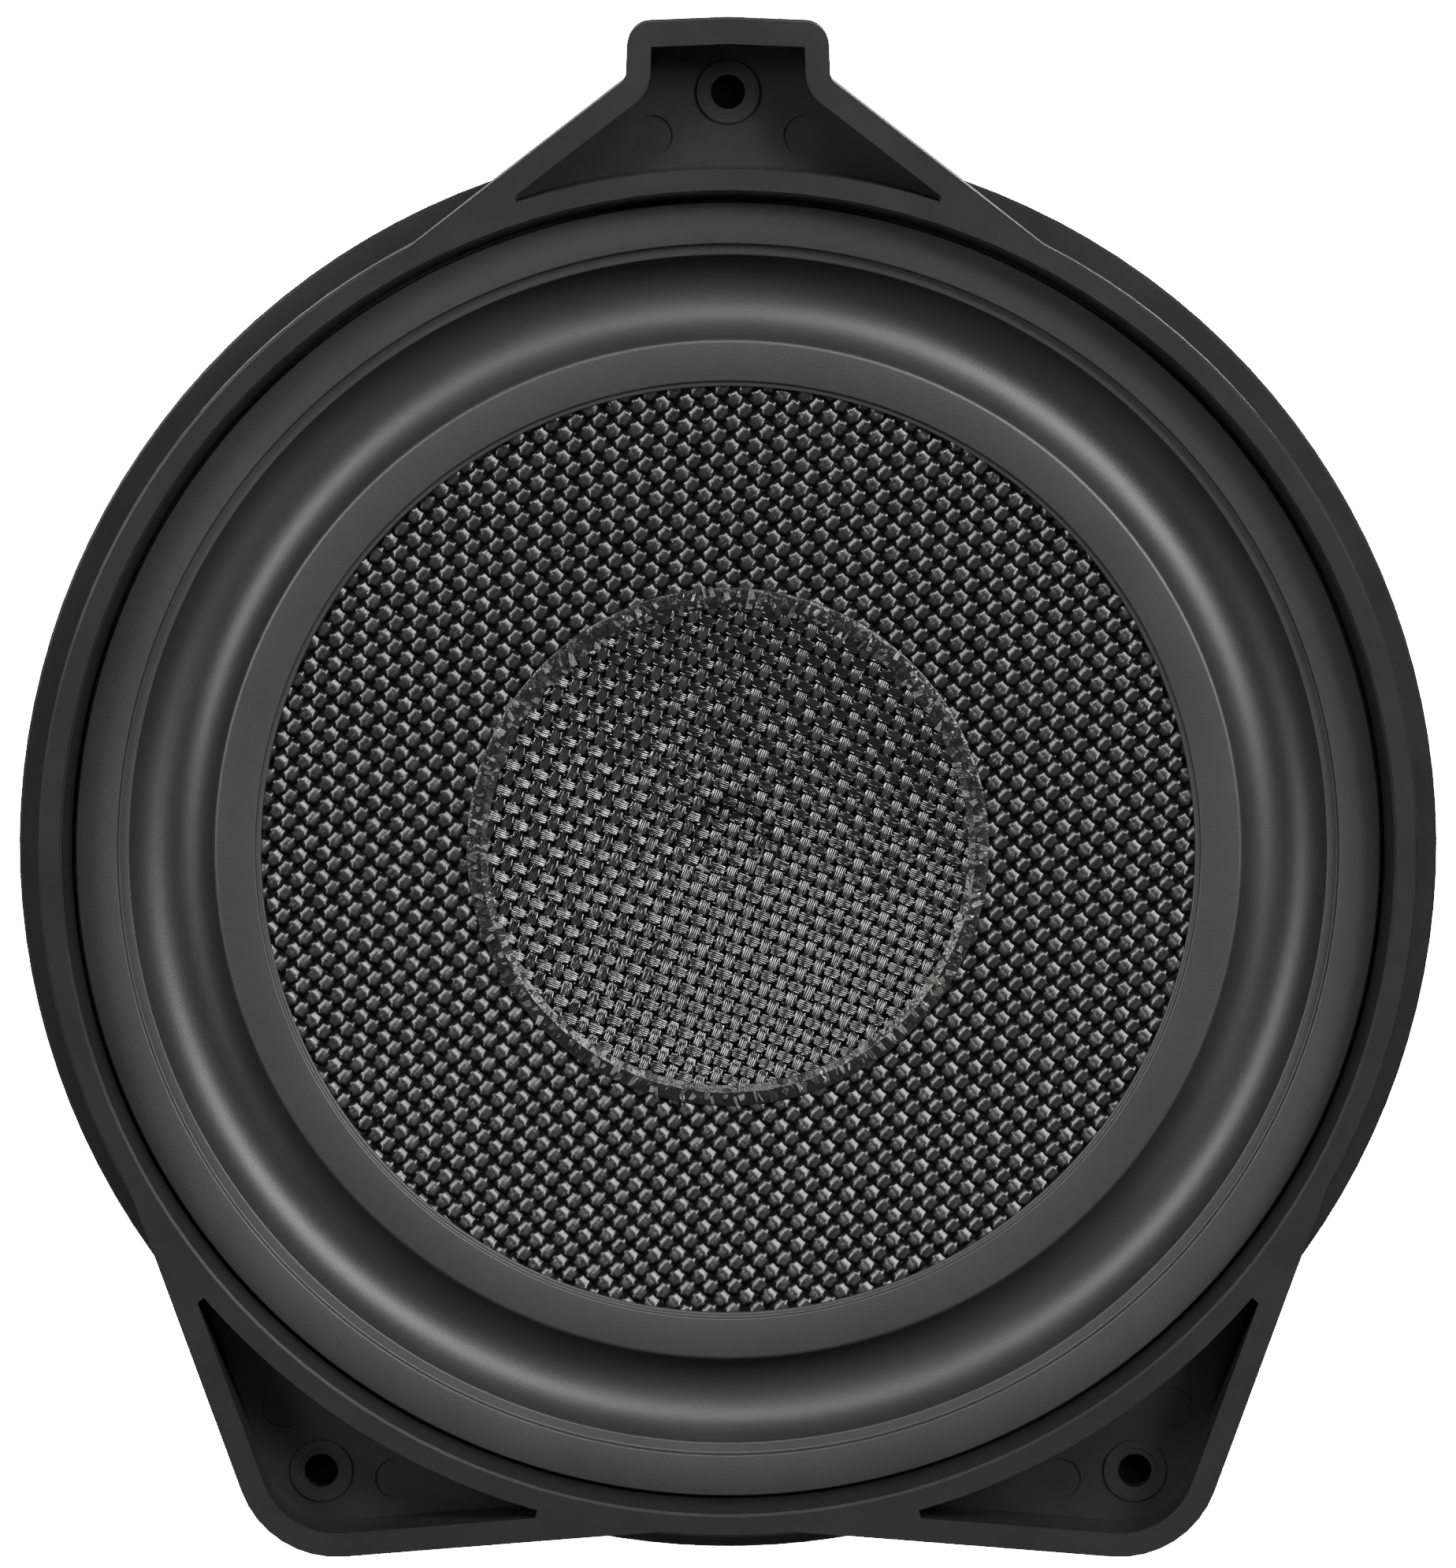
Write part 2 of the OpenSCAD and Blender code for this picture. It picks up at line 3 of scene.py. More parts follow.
import bmesh
import bpy
from mathutils import Matrix, Vector
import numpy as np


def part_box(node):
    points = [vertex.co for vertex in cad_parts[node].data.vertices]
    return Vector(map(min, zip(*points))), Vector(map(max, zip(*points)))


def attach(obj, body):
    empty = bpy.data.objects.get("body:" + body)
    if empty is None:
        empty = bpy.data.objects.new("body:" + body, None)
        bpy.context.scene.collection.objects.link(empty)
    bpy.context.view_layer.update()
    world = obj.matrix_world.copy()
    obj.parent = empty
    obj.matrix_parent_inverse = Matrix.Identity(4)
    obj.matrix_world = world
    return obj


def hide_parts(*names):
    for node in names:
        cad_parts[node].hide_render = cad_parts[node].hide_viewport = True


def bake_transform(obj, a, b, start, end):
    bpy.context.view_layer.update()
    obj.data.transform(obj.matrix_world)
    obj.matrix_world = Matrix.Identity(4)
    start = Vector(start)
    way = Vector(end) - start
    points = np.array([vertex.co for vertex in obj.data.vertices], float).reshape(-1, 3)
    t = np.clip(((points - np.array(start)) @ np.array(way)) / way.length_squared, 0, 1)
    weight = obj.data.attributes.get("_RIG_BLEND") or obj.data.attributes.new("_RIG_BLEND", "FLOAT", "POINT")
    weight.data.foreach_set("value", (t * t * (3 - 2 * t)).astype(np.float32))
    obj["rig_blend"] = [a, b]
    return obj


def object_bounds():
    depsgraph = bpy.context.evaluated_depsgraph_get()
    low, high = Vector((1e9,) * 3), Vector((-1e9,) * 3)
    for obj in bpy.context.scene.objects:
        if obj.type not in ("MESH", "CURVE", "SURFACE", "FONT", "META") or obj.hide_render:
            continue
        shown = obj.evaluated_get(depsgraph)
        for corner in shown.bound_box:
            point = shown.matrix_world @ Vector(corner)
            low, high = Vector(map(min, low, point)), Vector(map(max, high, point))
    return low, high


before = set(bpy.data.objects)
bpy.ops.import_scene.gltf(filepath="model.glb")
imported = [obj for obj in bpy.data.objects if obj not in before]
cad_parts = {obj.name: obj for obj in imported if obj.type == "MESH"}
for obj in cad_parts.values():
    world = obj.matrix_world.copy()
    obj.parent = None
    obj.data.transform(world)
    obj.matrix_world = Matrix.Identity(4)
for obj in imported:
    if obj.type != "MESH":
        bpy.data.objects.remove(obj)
cad_low, cad_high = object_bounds()

# The camera and the studio: a long lens looks slightly down on the speaker's front, which faces -Y.
# The speaker hangs over a plain white floor, and the soft lights stand well off its axis.
MM = 0.001
look_down = math.radians(7)
lens_distance = 1.3
measured_plane = 8 * MM
view_height = 238.8 * MM
middle_above_axis = 9.9 * MM
camera_data = bpy.data.cameras.new("camera")
camera_data.sensor_width = 36
camera_data.lens = camera_data.sensor_width * (lens_distance - measured_plane) / view_height
camera_data.clip_end = 100
camera = bpy.data.objects.new("camera", camera_data)
towards_camera = Vector((0, -math.cos(look_down), math.sin(look_down)))
aim = Vector((0, 0, middle_above_axis / math.cos(look_down)))
camera.location = aim + towards_camera * lens_distance
camera.rotation_mode = "QUATERNION"
camera.rotation_quaternion = towards_camera.to_track_quat("Z", "Y")
bpy.context.collection.objects.link(camera)
bpy.context.scene.camera = camera

backdrop_white = 25
studio_light = 0.03
floor_half = 9
floor_drop = 40 * MM
floor_mesh = bpy.data.meshes.new("floor")
floor_mesh.from_pydata([(floor_half * x, floor_half * y, 0) for x, y in ((-1, -1), (1, -1), (1, 1), (-1, 1))],
                       [], [(0, 1, 2, 3)])
floor_mesh.transform(Matrix.Translation((0, 0, cad_low.z - floor_drop)))
floor = bpy.data.objects.new("floor", floor_mesh)
bpy.context.collection.objects.link(floor)
floor_paint = bpy.data.materials.new("white floor")
floor_paint.use_nodes = True
floor_nodes = floor_paint.node_tree.nodes
floor_nodes["Principled BSDF"].inputs["Base Color"].default_value = (0.06, 0.06, 0.06, 1)
floor_glow = floor_nodes.new("ShaderNodeEmission")
floor_glow.inputs["Strength"].default_value = backdrop_white
floor_mix = floor_nodes.new("ShaderNodeMixShader")
floor_path = floor_nodes.new("ShaderNodeLightPath")
floor_links = floor_paint.node_tree.links
floor_links.new(floor_path.outputs["Is Camera Ray"], floor_mix.inputs[0])
floor_links.new(floor_nodes["Principled BSDF"].outputs[0], floor_mix.inputs[1])
floor_links.new(floor_glow.outputs[0], floor_mix.inputs[2])
floor_links.new(floor_mix.outputs[0], floor_nodes["Material Output"].inputs["Surface"])
floor_mesh.materials.append(floor_paint)

studio = bpy.data.worlds.new("studio")
bpy.context.scene.world = studio
studio.use_nodes = True
studio_nodes = studio.node_tree.nodes
studio_nodes["Background"].inputs["Strength"].default_value = studio_light
studio_white = studio_nodes.new("ShaderNodeBackground")
studio_white.inputs["Strength"].default_value = backdrop_white
studio_mix = studio_nodes.new("ShaderNodeMixShader")
studio_path = studio_nodes.new("ShaderNodeLightPath")
studio_links = studio.node_tree.links
studio_links.new(studio_path.outputs["Is Camera Ray"], studio_mix.inputs[0])
studio_links.new(studio_nodes["Background"].outputs[0], studio_mix.inputs[1])
studio_links.new(studio_white.outputs[0], studio_mix.inputs[2])
studio_links.new(studio_mix.outputs[0], studio_nodes["World Output"].inputs["Surface"])


def softbox(name, turn, off_axis, distance, width, height, power):
    """A soft light turned anticlockwise from the speaker's right and leaning off its axis, in degrees."""
    turn, off_axis = math.radians(turn), math.radians(off_axis)
    light = bpy.data.lights.new(name, "AREA")
    light.shape = "RECTANGLE"
    light.size, light.size_y, light.energy = width, height, power
    lamp = bpy.data.objects.new(name, light)
    direction = Vector((math.sin(off_axis) * math.cos(turn), -math.cos(off_axis),
                        math.sin(off_axis) * math.sin(turn)))
    lamp.location = direction * distance
    lamp.rotation_mode = "QUATERNION"
    lamp.rotation_quaternion = direction.to_track_quat("Z", "Y")
    bpy.context.collection.objects.link(lamp)


softbox("upper left light", 150, 50, 2.4, 0.65, 0.65, 40)
softbox("left light", 169, 50, 2.4, 0.65, 0.65, 20)
softbox("upper right light", 31, 50, 2.4, 0.75, 0.75, 86)
softbox("overhead light", 62, 50, 2.4, 0.65, 0.65, 28)
softbox("top light", 100, 52, 2.4, 0.8, 0.8, 26)
softbox("rear left light", 150, 128, 2.4, 1.2, 1.2, 90)
softbox("rear right light", 20, 142, 2.4, 1.2, 1.2, 90)


# The basket: one moulding of black glass-filled plastic, with a raised rim, three ears with
# pockets, twelve ribs and windows, a ledge for the spider and a shelf for the motor.
class Wire:
    """An output of a node. Sums on it add Math nodes, so that formulas read as formulas."""

    def __init__(self, graph, socket):
        self.graph = graph
        self.socket = socket

    def __add__(self, other):
        return self.graph.maths("ADD", self, other)

    def __radd__(self, other):
        return self.graph.maths("ADD", other, self)

    def __sub__(self, other):
        return self.graph.maths("SUBTRACT", self, other)

    def __rsub__(self, other):
        return self.graph.maths("SUBTRACT", other, self)

    def __mul__(self, other):
        return self.graph.maths("MULTIPLY", self, other)

    def __rmul__(self, other):
        return self.graph.maths("MULTIPLY", other, self)

    def __truediv__(self, other):
        return self.graph.maths("DIVIDE", self, other)

    def __rtruediv__(self, other):
        return self.graph.maths("DIVIDE", other, self)


class Graph:
    """A node tree, of a material or of geometry nodes."""

    def __init__(self, tree):
        self.tree = tree

    def node(self, kind, settings=None, inputs=None, out=0):
        """Adds a node: its settings first, then the values or links of its sockets."""
        made = self.tree.nodes.new(kind)
        for name, value in (settings or {}).items():
            if name == "stops":
                ramp = made.color_ramp.elements
                while len(ramp) < len(value):
                    ramp.new(0.5)
                for stop, (place, grey) in zip(ramp, value):
                    stop.position = place
                    stop.color = (grey, grey, grey, 1)
            else:
                setattr(made, name, value)
        for name, value in (inputs or {}).items():
            if isinstance(value, Wire):
                self.tree.links.new(value.socket, made.inputs[name])
            else:
                made.inputs[name].default_value = value
        return Wire(self, made.outputs[out])

    def maths(self, operation, *values):
        return self.node("ShaderNodeMath", {"operation": operation}, dict(enumerate(values)))


class Finish(Graph):
    """A material: the constants of its shader, and what varies over its surface."""

    def __init__(self, name, constants):
        self.material = bpy.data.materials.new(name)
        self.material.use_nodes = True
        super().__init__(self.material.node_tree)
        self.shader = self.tree.nodes["Principled BSDF"]
        for socket, value in constants.items():
            self.shader.inputs[socket].default_value = value

    def feed(self, socket, wire):
        self.tree.links.new(wire.socket, self.shader.inputs[socket])

    def place(self):
        return self.node("ShaderNodeTexCoord", out="Object")

    def noise(self, where, scale, detail=2.0, roughness=0.5):
        return self.node("ShaderNodeTexNoise", None, {
            "Vector": where, "Scale": scale, "Detail": detail, "Roughness": roughness})

    def colours(self, share, first, second):
        """From the first colour to the second as share goes from 0 to 1."""
        return self.node("ShaderNodeMix", {"data_type": "RGBA"}, {
            0: share, 6: (*first, 1), 7: (*second, 1)}, out=2)

    def bump(self, height, distance, strength=1.0):
        self.feed("Normal", self.node("ShaderNodeBump", None, {
            "Height": height, "Distance": distance, "Strength": strength}))


def show(piece, body, finish):
    """Puts a finished piece in the scene, on its body, in its finish."""
    if piece.name not in bpy.context.collection.objects:
        bpy.context.collection.objects.link(piece)
    piece.data.materials.clear()
    piece.data.materials.append(finish.material)
    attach(piece, body)
    return piece


def eased_copy(node, name, width, dissolve=0.5):
    """A copy of a CAD node with its sharp edges eased, as a mould or a tumbler leaves them."""
    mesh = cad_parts[node].data.copy()
    mesh.name = name
    work = bmesh.new()
    work.from_mesh(mesh)
    bmesh.ops.remove_doubles(work, verts=work.verts, dist=1e-6)
    bmesh.ops.dissolve_limit(work, angle_limit=math.radians(dissolve), verts=work.verts, edges=work.edges)
    for face in work.faces:
        face.smooth = True
    work.to_mesh(mesh)
    work.free()
    if mesh.attributes.get("custom_normal"):
        mesh.attributes.remove(mesh.attributes["custom_normal"])
    piece = bpy.data.objects.new(name, mesh)
    bpy.context.collection.objects.link(piece)
    ease = piece.modifiers.new("eased edges", "BEVEL")
    ease.width = width
    ease.segments = 2
    ease.limit_method = "ANGLE"
    ease.angle_limit = math.radians(30)
    ease.harden_normals = True
    plain = bpy.data.meshes.new_from_object(piece.evaluated_get(bpy.context.evaluated_depsgraph_get()))
    piece.modifiers.clear()
    piece.data = plain
    plain.name = name
    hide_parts(node)
    return piece


moulded = Finish("moulded black plastic", {
    "Base Color": (0.005, 0.005, 0.0052, 1), "Roughness": 0.36, "Specular IOR Level": 0.5})
grain = moulded.noise(moulded.place(), 5200, 2)
clouds = moulded.noise(moulded.place(), 90, 3)
moulded.feed("Base Color", moulded.colours(clouds, (0.0035, 0.0035, 0.0036), (0.0075, 0.0075, 0.0078)))
moulded.feed("Roughness", 0.34 + 0.14 * grain + 0.06 * clouds)
moulded.bump(grain, 0.00001, 0.6)
show(eased_copy("basket", "moulded_basket", 0.24 * MM, 0.01), "frame", moulded)

# The gasket: a ring of soft closed-cell foam in the groove of the flange's rear face.
foam = Finish("closed-cell foam", {"Base Color": (0.02, 0.02, 0.02, 1), "Roughness": 0.95})
cells = foam.node("ShaderNodeTexVoronoi", None, {"Vector": foam.place(), "Scale": 1800})
foam.feed("Base Color", foam.colours(cells, (0.012, 0.012, 0.012), (0.035, 0.035, 0.035)))
foam.bump(cells, 0.0002, 0.8)
show(eased_copy("gasket", "foam_gasket", 0.2 * MM), "frame", foam)

# The hole shades: a thin near-black disc inside each screw hole, which is painted shade that stands for the
# shade seen down the hole.
# They are a guess that makes the holes look dark, as they should; the CAD's bores behind them stay open.
hole_shade_radius, hole_shade_thickness, hole_shade_middle = 2.75 * MM, 0.5 * MM, -0.45 * MM
# painted shade: near-black, faintly mottled discs that stand for the shade down each screw hole
hole_shade_black = Finish("painted hole shade", {
    "Base Color": (0.002, 0.002, 0.002, 1), "Roughness": 1.0, "Specular IOR Level": 0.1})
hole_shade_black.feed("Base Color", hole_shade_black.colours(
    hole_shade_black.noise(hole_shade_black.place(), 2000), (0.001, 0.001, 0.001), (0.004, 0.004, 0.004)))
for name, hole_x, hole_y in (("top_seal", 0.0, 115.9),
                             ("right_seal", 62.8, -96.4),
                             ("left_seal", -62.8, -96.4)):
    hole_shade_mesh = bpy.data.meshes.new(name)
    hole_shade_work = bmesh.new()
    hole_shade_place = Matrix.Translation((hole_x * MM, hole_shade_middle, hole_y * MM))
    bmesh.ops.create_cone(hole_shade_work, cap_ends=True, segments=40, radius1=hole_shade_radius, radius2=hole_shade_radius,
                          depth=hole_shade_thickness, matrix=hole_shade_place @ Matrix.Rotation(math.pi / 2, 4, "X"))
    hole_shade_work.to_mesh(hole_shade_mesh)
    hole_shade_work.free()
    show(bpy.data.objects.new(name, hole_shade_mesh), "frame", hole_shade_black)


# The surround: one moulding of butyl rubber. Its flat ring is glued to the basket's landing and its
# inner landing to the cone; the half roll between them is sunk towards the motor and lets the cone move.
def arc(middle, radius, first, last, steps):
    """Points of an arc about middle, from the first angle to the last, in degrees."""
    angles = [math.radians(first + (last - first) * k / steps) for k in range(steps + 1)]
    return [(middle[0] + radius * math.cos(a), middle[1] + radius * math.sin(a)) for a in angles]


def softened(outline, radius, steps=3):
    """The same closed outline with a small arc instead of each sharp corner."""
    points = []
    for k, corner in enumerate(outline):
        here = Vector(corner)
        back = Vector(outline[k - 1]) - here
        ahead = Vector(outline[(k + 1) % len(outline)]) - here
        bend = back.angle(ahead)
        if bend > math.radians(155):
            points.append(corner)
            continue
        run = min(radius / math.tan(bend / 2), back.length * 0.45, ahead.length * 0.45)
        start = here + back.normalized() * run
        end = here + ahead.normalized() * run
        for step in range(steps + 1):
            t = step / steps
            p = start * (1 - t) ** 2 + here * 2 * t * (1 - t) + end * t ** 2
            points.append((p.x, p.y))
    return points


def turned(name, outline, around=256):
    """A body turned about the speaker's axis from a closed outline of (radius, height) points in mm."""
    work = bmesh.new()
    rings = []
    for radius, height in outline:
        if radius < 1e-6:
            rings.append([work.verts.new((0, -height * MM, 0))])
            continue
        angles = [2 * math.pi * k / around for k in range(around)]
        rings.append([work.verts.new((radius * MM * math.cos(a), -height * MM, radius * MM * math.sin(a)))
                      for a in angles])
    for ring, following in zip(rings, rings[1:] + rings[:1]):
        if len(ring) == 1 and len(following) == 1:
            continue
        for k in range(around):
            corners = [ring[k % len(ring)], following[k % len(following)],
                       following[(k + 1) % len(following)], ring[(k + 1) % len(ring)]]
            work.faces.new(list(dict.fromkeys(corners))).smooth = True
    bmesh.ops.recalc_face_normals(work, faces=work.faces)
    mesh = bpy.data.meshes.new(name)
    work.to_mesh(mesh)
    work.free()
    return bpy.data.objects.new(name, mesh)


def stretch_between(piece, fixed_radius, moving_radius, finish):
    """Lets a ring of rubber or cloth stretch from the still basket to the moving cone."""
    bpy.context.collection.objects.link(piece)
    piece.data.materials.append(finish.material)
    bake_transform(piece, "frame", "diaphragm", start=(fixed_radius, 0, 0), end=(moving_radius, 0, 0))
    for vertex, weight in zip(piece.data.vertices, piece.data.attributes["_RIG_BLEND"].data):
        radius = math.hypot(vertex.co.x, vertex.co.z)
        share = min(max((fixed_radius - radius) / (fixed_radius - moving_radius), 0), 1)
        weight.value = share * share * (3 - 2 * share)


landing = 5.5
ring_outer, ring_inner, ring_top = 99.5, 93.2, 7.5
roll_outer, roll_inner = 91.4, 78.6
rubber = 0.8
seam = 71.3
lip = 76.8
roll_middle, roll_radius = (roll_outer + roll_inner) / 2, (roll_outer - roll_inner) / 2
butyl = Finish("butyl rubber", {
    "Base Color": (0.006, 0.006, 0.006, 1), "Roughness": 0.42, "Specular IOR Level": 0.5})
skin = butyl.noise(butyl.place(), 3800, 3, 0.6)
bloom = butyl.noise(butyl.place(), 45, 4, 0.6)
butyl.feed("Base Color", butyl.colours(bloom, (0.012, 0.012, 0.012), (0.019, 0.019, 0.019)))
butyl.feed("Roughness", 0.40 + 0.12 * skin + 0.06 * bloom)
butyl.bump(skin, 0.00004, 0.8)
knee = arc((77.95, 4.7), 0.75, 20, 88, 5)
surround_outline = [(ring_outer, landing), (ring_outer, ring_top), (ring_inner, ring_top),
                    (ring_inner - 0.15, landing + rubber), (roll_outer, landing + rubber)]
surround_outline += arc((roll_middle, landing), roll_radius, -2, -158, 30) + knee
surround_outline += [(seam + 1.0, 5.35), (seam + 0.75, 4.85), (seam + 0.1, 4.85), (seam, 4.05),
                     (lip + 0.2, 4.65)]
surround_outline += arc((roll_middle, landing), roll_radius + rubber, -174, 0, 24)
surround_outline = softened(surround_outline, 0.22, 2)
surround = turned("rubber_surround", surround_outline, 320)
stretch_between(surround, roll_outer * MM, (roll_inner - 1) * MM, butyl)
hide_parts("surround")


# The cone: black woven cloth, pressed with resin into a shallow funnel. A smooth shell lies under the
# tows of the cloth, which cross over and under each other one by one, at 45 degrees to the ears.
def tow_mesh(name, along, across):
    """One crossing of a tow: a strip one unit long and wide that rises, rounds over and dives at both ends."""
    work = bmesh.new()
    uv = work.loops.layers.uv.new("tow")
    reach = 0.64
    grid = []
    for i in range(along + 1):
        v = -reach + 2 * reach * i / along
        half = 0.5 * (1 - 0.05 * abs(2 * v) ** 3)
        row = []
        for j in range(across + 1):
            u = -1 + 2 * j / across
            crown = math.cos(math.pi * v) - 0.14 * u ** 2
            row.append(work.verts.new((half * u, v, crown)))
        grid.append(row)
    spot = {vertex: (0.5 + vertex.co.x, 0.5 + vertex.co.y) for row in grid for vertex in row}
    for i in range(along):
        for j in range(across):
            face = work.faces.new((grid[i][j], grid[i][j + 1], grid[i + 1][j + 1], grid[i + 1][j]))
            face.smooth = True
    rim = grid[0] + [row[-1] for row in grid[1:-1]] + grid[-1][::-1] + [row[0] for row in grid[-2:0:-1]]
    work.faces.new(rim[::-1])
    for face in work.faces:
        for loop in face.loops:
            loop[uv].uv = spot[loop.vert]
    mesh = bpy.data.meshes.new(name)
    work.to_mesh(mesh)
    work.free()
    return mesh


def cloth_nodes():
    """Geometry nodes that lay the tows of a plain weave over a dish about the speaker's axis.
    The dish's height is Rise + Slope * r + Curve * r * r, less a dimple in its middle."""
    tree = bpy.data.node_groups.new("plain weave over a dish", "GeometryNodeTree")
    sockets = [("Tow", "NodeSocketObject"), ("Pitch 1", "NodeSocketFloat"), ("Pitch 2", "NodeSocketFloat"),
               ("Turn", "NodeSocketFloat"), ("Inner", "NodeSocketFloat"), ("Outer", "NodeSocketFloat"),
               ("Rise", "NodeSocketFloat"), ("Slope", "NodeSocketFloat"), ("Curve", "NodeSocketFloat"),
               ("Dimple Radius", "NodeSocketFloat"), ("Dimple Depth", "NodeSocketFloat"),
               ("Crown", "NodeSocketFloat"), ("Uneven", "NodeSocketFloat"), ("Seed", "NodeSocketInt"),
               ("Material", "NodeSocketMaterial")]
    for label, kind in sockets:
        tree.interface.new_socket(label, in_out="INPUT", socket_type=kind)
    tree.interface.new_socket("Geometry", in_out="OUTPUT", socket_type="NodeSocketGeometry")
    g = Graph(tree)
    group_input = tree.nodes.new("NodeGroupInput")
    given = {label: Wire(g, group_input.outputs[label]) for label, kind in sockets}

    shorter = g.maths("MINIMUM", given["Pitch 1"], given["Pitch 2"])
    count = 2 * g.maths("CEIL", given["Outer"] / shorter) + 3
    lattice = g.node("GeometryNodeMeshGrid", None, {
        "Size X": (count - 1) * given["Pitch 1"], "Size Y": (count - 1) * given["Pitch 2"],
        "Vertices X": count, "Vertices Y": count})
    index = g.node("GeometryNodeInputIndex")
    row = g.maths("FLOOR", (index + 0.5) / count)
    parity = g.maths("MODULO", row + (index - row * count), 2)

    place = g.node("GeometryNodeInputPosition")
    swung = g.node("ShaderNodeVectorRotate", {"rotation_type": "Z_AXIS"}, {
        "Vector": place, "Angle": given["Turn"]})
    parts = g.node("ShaderNodeSeparateXYZ", None, {0: swung})
    x, y = parts, Wire(g, parts.socket.node.outputs[1])
    radius = g.maths("SQRT", x * x + y * y)
    dimple = g.node("ShaderNodeMapRange", {"interpolation_type": "SMOOTHSTEP"}, {
        "Value": radius, "From Min": given["Dimple Radius"], "From Max": given["Dimple Radius"] + 0.003,
        "To Min": 1.0, "To Max": 0.0})
    height = (given["Rise"] + given["Slope"] * radius + given["Curve"] * radius * radius
              - dimple * given["Dimple Depth"])
    steep = (given["Slope"] + 2 * given["Curve"] * radius) / g.maths("MAXIMUM", radius, 1e-6)
    lean_x, lean_y = [g.node("FunctionNodeRandomValue", {"data_type": "FLOAT"}, {
        2: -1.0, 3: 1.0, "Seed": given["Seed"] + step}, out=1) * given["Uneven"] for step in (1, 2)]
    normal = g.node("ShaderNodeCombineXYZ", None, {
        0: lean_x - steep * x, 1: lean_y - steep * y, 2: 1.0})
    draped = g.node("GeometryNodeSetPosition", None, {
        "Geometry": lattice, "Position": g.node("ShaderNodeCombineXYZ", None, {0: x, 1: y, 2: height})})
    # the formulas above read the flat lattice, so they are stored before the points move
    for label, value, kind in (("lay", parity, "FLOAT"), ("facing", normal, "FLOAT_VECTOR"),
                               ("reach", radius, "FLOAT")):
        lattice = g.node("GeometryNodeStoreNamedAttribute", {"data_type": kind, "domain": "POINT"}, {
            "Geometry": lattice, "Name": label, "Value": value})
    tree.links.new(lattice.socket, draped.socket.node.inputs["Geometry"])

    def stored(label, kind):
        return g.node("GeometryNodeInputNamedAttribute", {"data_type": kind}, {"Name": label})

    reach = stored("reach", "FLOAT")
    inside = g.node("FunctionNodeCompare", {"operation": "LESS_THAN"}, {"A": reach, "B": given["Inner"]})
    outside = g.node("FunctionNodeCompare", {"operation": "GREATER_THAN"}, {"A": reach, "B": given["Outer"]})
    either = g.node("FunctionNodeBooleanMath", {"operation": "OR"}, {0: inside, 1: outside})
    kept = g.node("GeometryNodeDeleteGeometry", {"domain": "POINT"}, {
        "Geometry": draped, "Selection": either})

    lay = stored("lay", "FLOAT")
    heading = given["Turn"] + lay * (math.pi / 2)
    along = g.node("ShaderNodeCombineXYZ", None, {
        0: g.maths("COSINE", heading), 1: g.maths("SINE", heading), 2: 0.0})
    aligned = g.node("FunctionNodeAxesToRotation", {"primary_axis": "Z", "secondary_axis": "Y"}, {
        "Primary Axis": stored("facing", "FLOAT_VECTOR"), "Secondary Axis": along})
    length = given["Pitch 1"] + lay * (given["Pitch 2"] - given["Pitch 1"])
    width = given["Pitch 2"] + lay * (given["Pitch 1"] - given["Pitch 2"])
    size = g.node("ShaderNodeCombineXYZ", None, {0: width * 1.01, 1: length, 2: given["Crown"]})
    tow = g.node("GeometryNodeObjectInfo", None, {"Object": given["Tow"]}, out="Geometry")
    laid = g.node("GeometryNodeInstanceOnPoints", None, {
        "Points": kept, "Instance": tow, "Rotation": aligned, "Scale": size})
    luck = g.node("FunctionNodeRandomValue", {"data_type": "FLOAT"}, {"Seed": given["Seed"]}, out=1)
    for label, value in (("luck", luck), ("lay", lay)):
        laid = g.node("GeometryNodeStoreNamedAttribute", {"data_type": "FLOAT", "domain": "INSTANCE"}, {
            "Geometry": laid, "Name": label, "Value": value})
    real = g.node("GeometryNodeRealizeInstances", None, {"Geometry": laid})
    stood = g.node("GeometryNodeTransform", None, {
        "Geometry": real, "Rotation": (math.pi / 2, 0, 0)})
    painted = g.node("GeometryNodeSetMaterial", None, {"Geometry": stood, "Material": given["Material"]})
    group_output = tree.nodes.new("NodeGroupOutput")
    tree.links.new(painted.socket, group_output.inputs[0])
    return tree


def grown(name, tree, values):
    """Runs a geometry node tree with the given inputs and keeps its result as a plain mesh."""
    seed_object = bpy.data.objects.new(name, bpy.data.meshes.new(name))
    bpy.context.collection.objects.link(seed_object)
    run = seed_object.modifiers.new(name, "NODES")
    run.node_group = tree
    for item in tree.interface.items_tree:
        if item.in_out == "INPUT" and item.name in values:
            run[item.identifier] = values[item.name]
    mesh = bpy.data.meshes.new_from_object(
        seed_object.evaluated_get(bpy.context.evaluated_depsgraph_get()))
    seed_object.modifiers.clear()
    seed_object.data = mesh
    return seed_object


cone_slope = 0.16
cone_height = 4.0 - cone_slope * seam
neck = 25.35
shell_drop = 0.38


def cone_line(radius):
    return cone_height + cone_slope * radius


resin = Finish("black resin", {
    "Base Color": (0.001, 0.001, 0.001, 1), "Roughness": 0.3, "Specular IOR Level": 0.3})
resin.bump(resin.noise(resin.place(), 900, 2), 0.0001, 0.3)
cone_shell = turned("cone_shell", softened([
    (lip, 4.4), (seam, 3.8), (seam - 1, cone_line(seam - 1) - shell_drop),
    (neck + 2, cone_line(neck + 2) - shell_drop), (neck + 0.6, cone_line(neck) - 0.5),
    (neck, cone_line(neck) - 1), (neck, -10.6), (neck + 0.6, -10.6),
    (neck + 0.6, cone_line(neck) - 1.4), (neck + 2, cone_line(neck + 2) - 0.62),
    (seam, 3.38), (lip, 3.98)], 0.1), 256)
show(cone_shell, "diaphragm", resin)
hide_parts("cone")

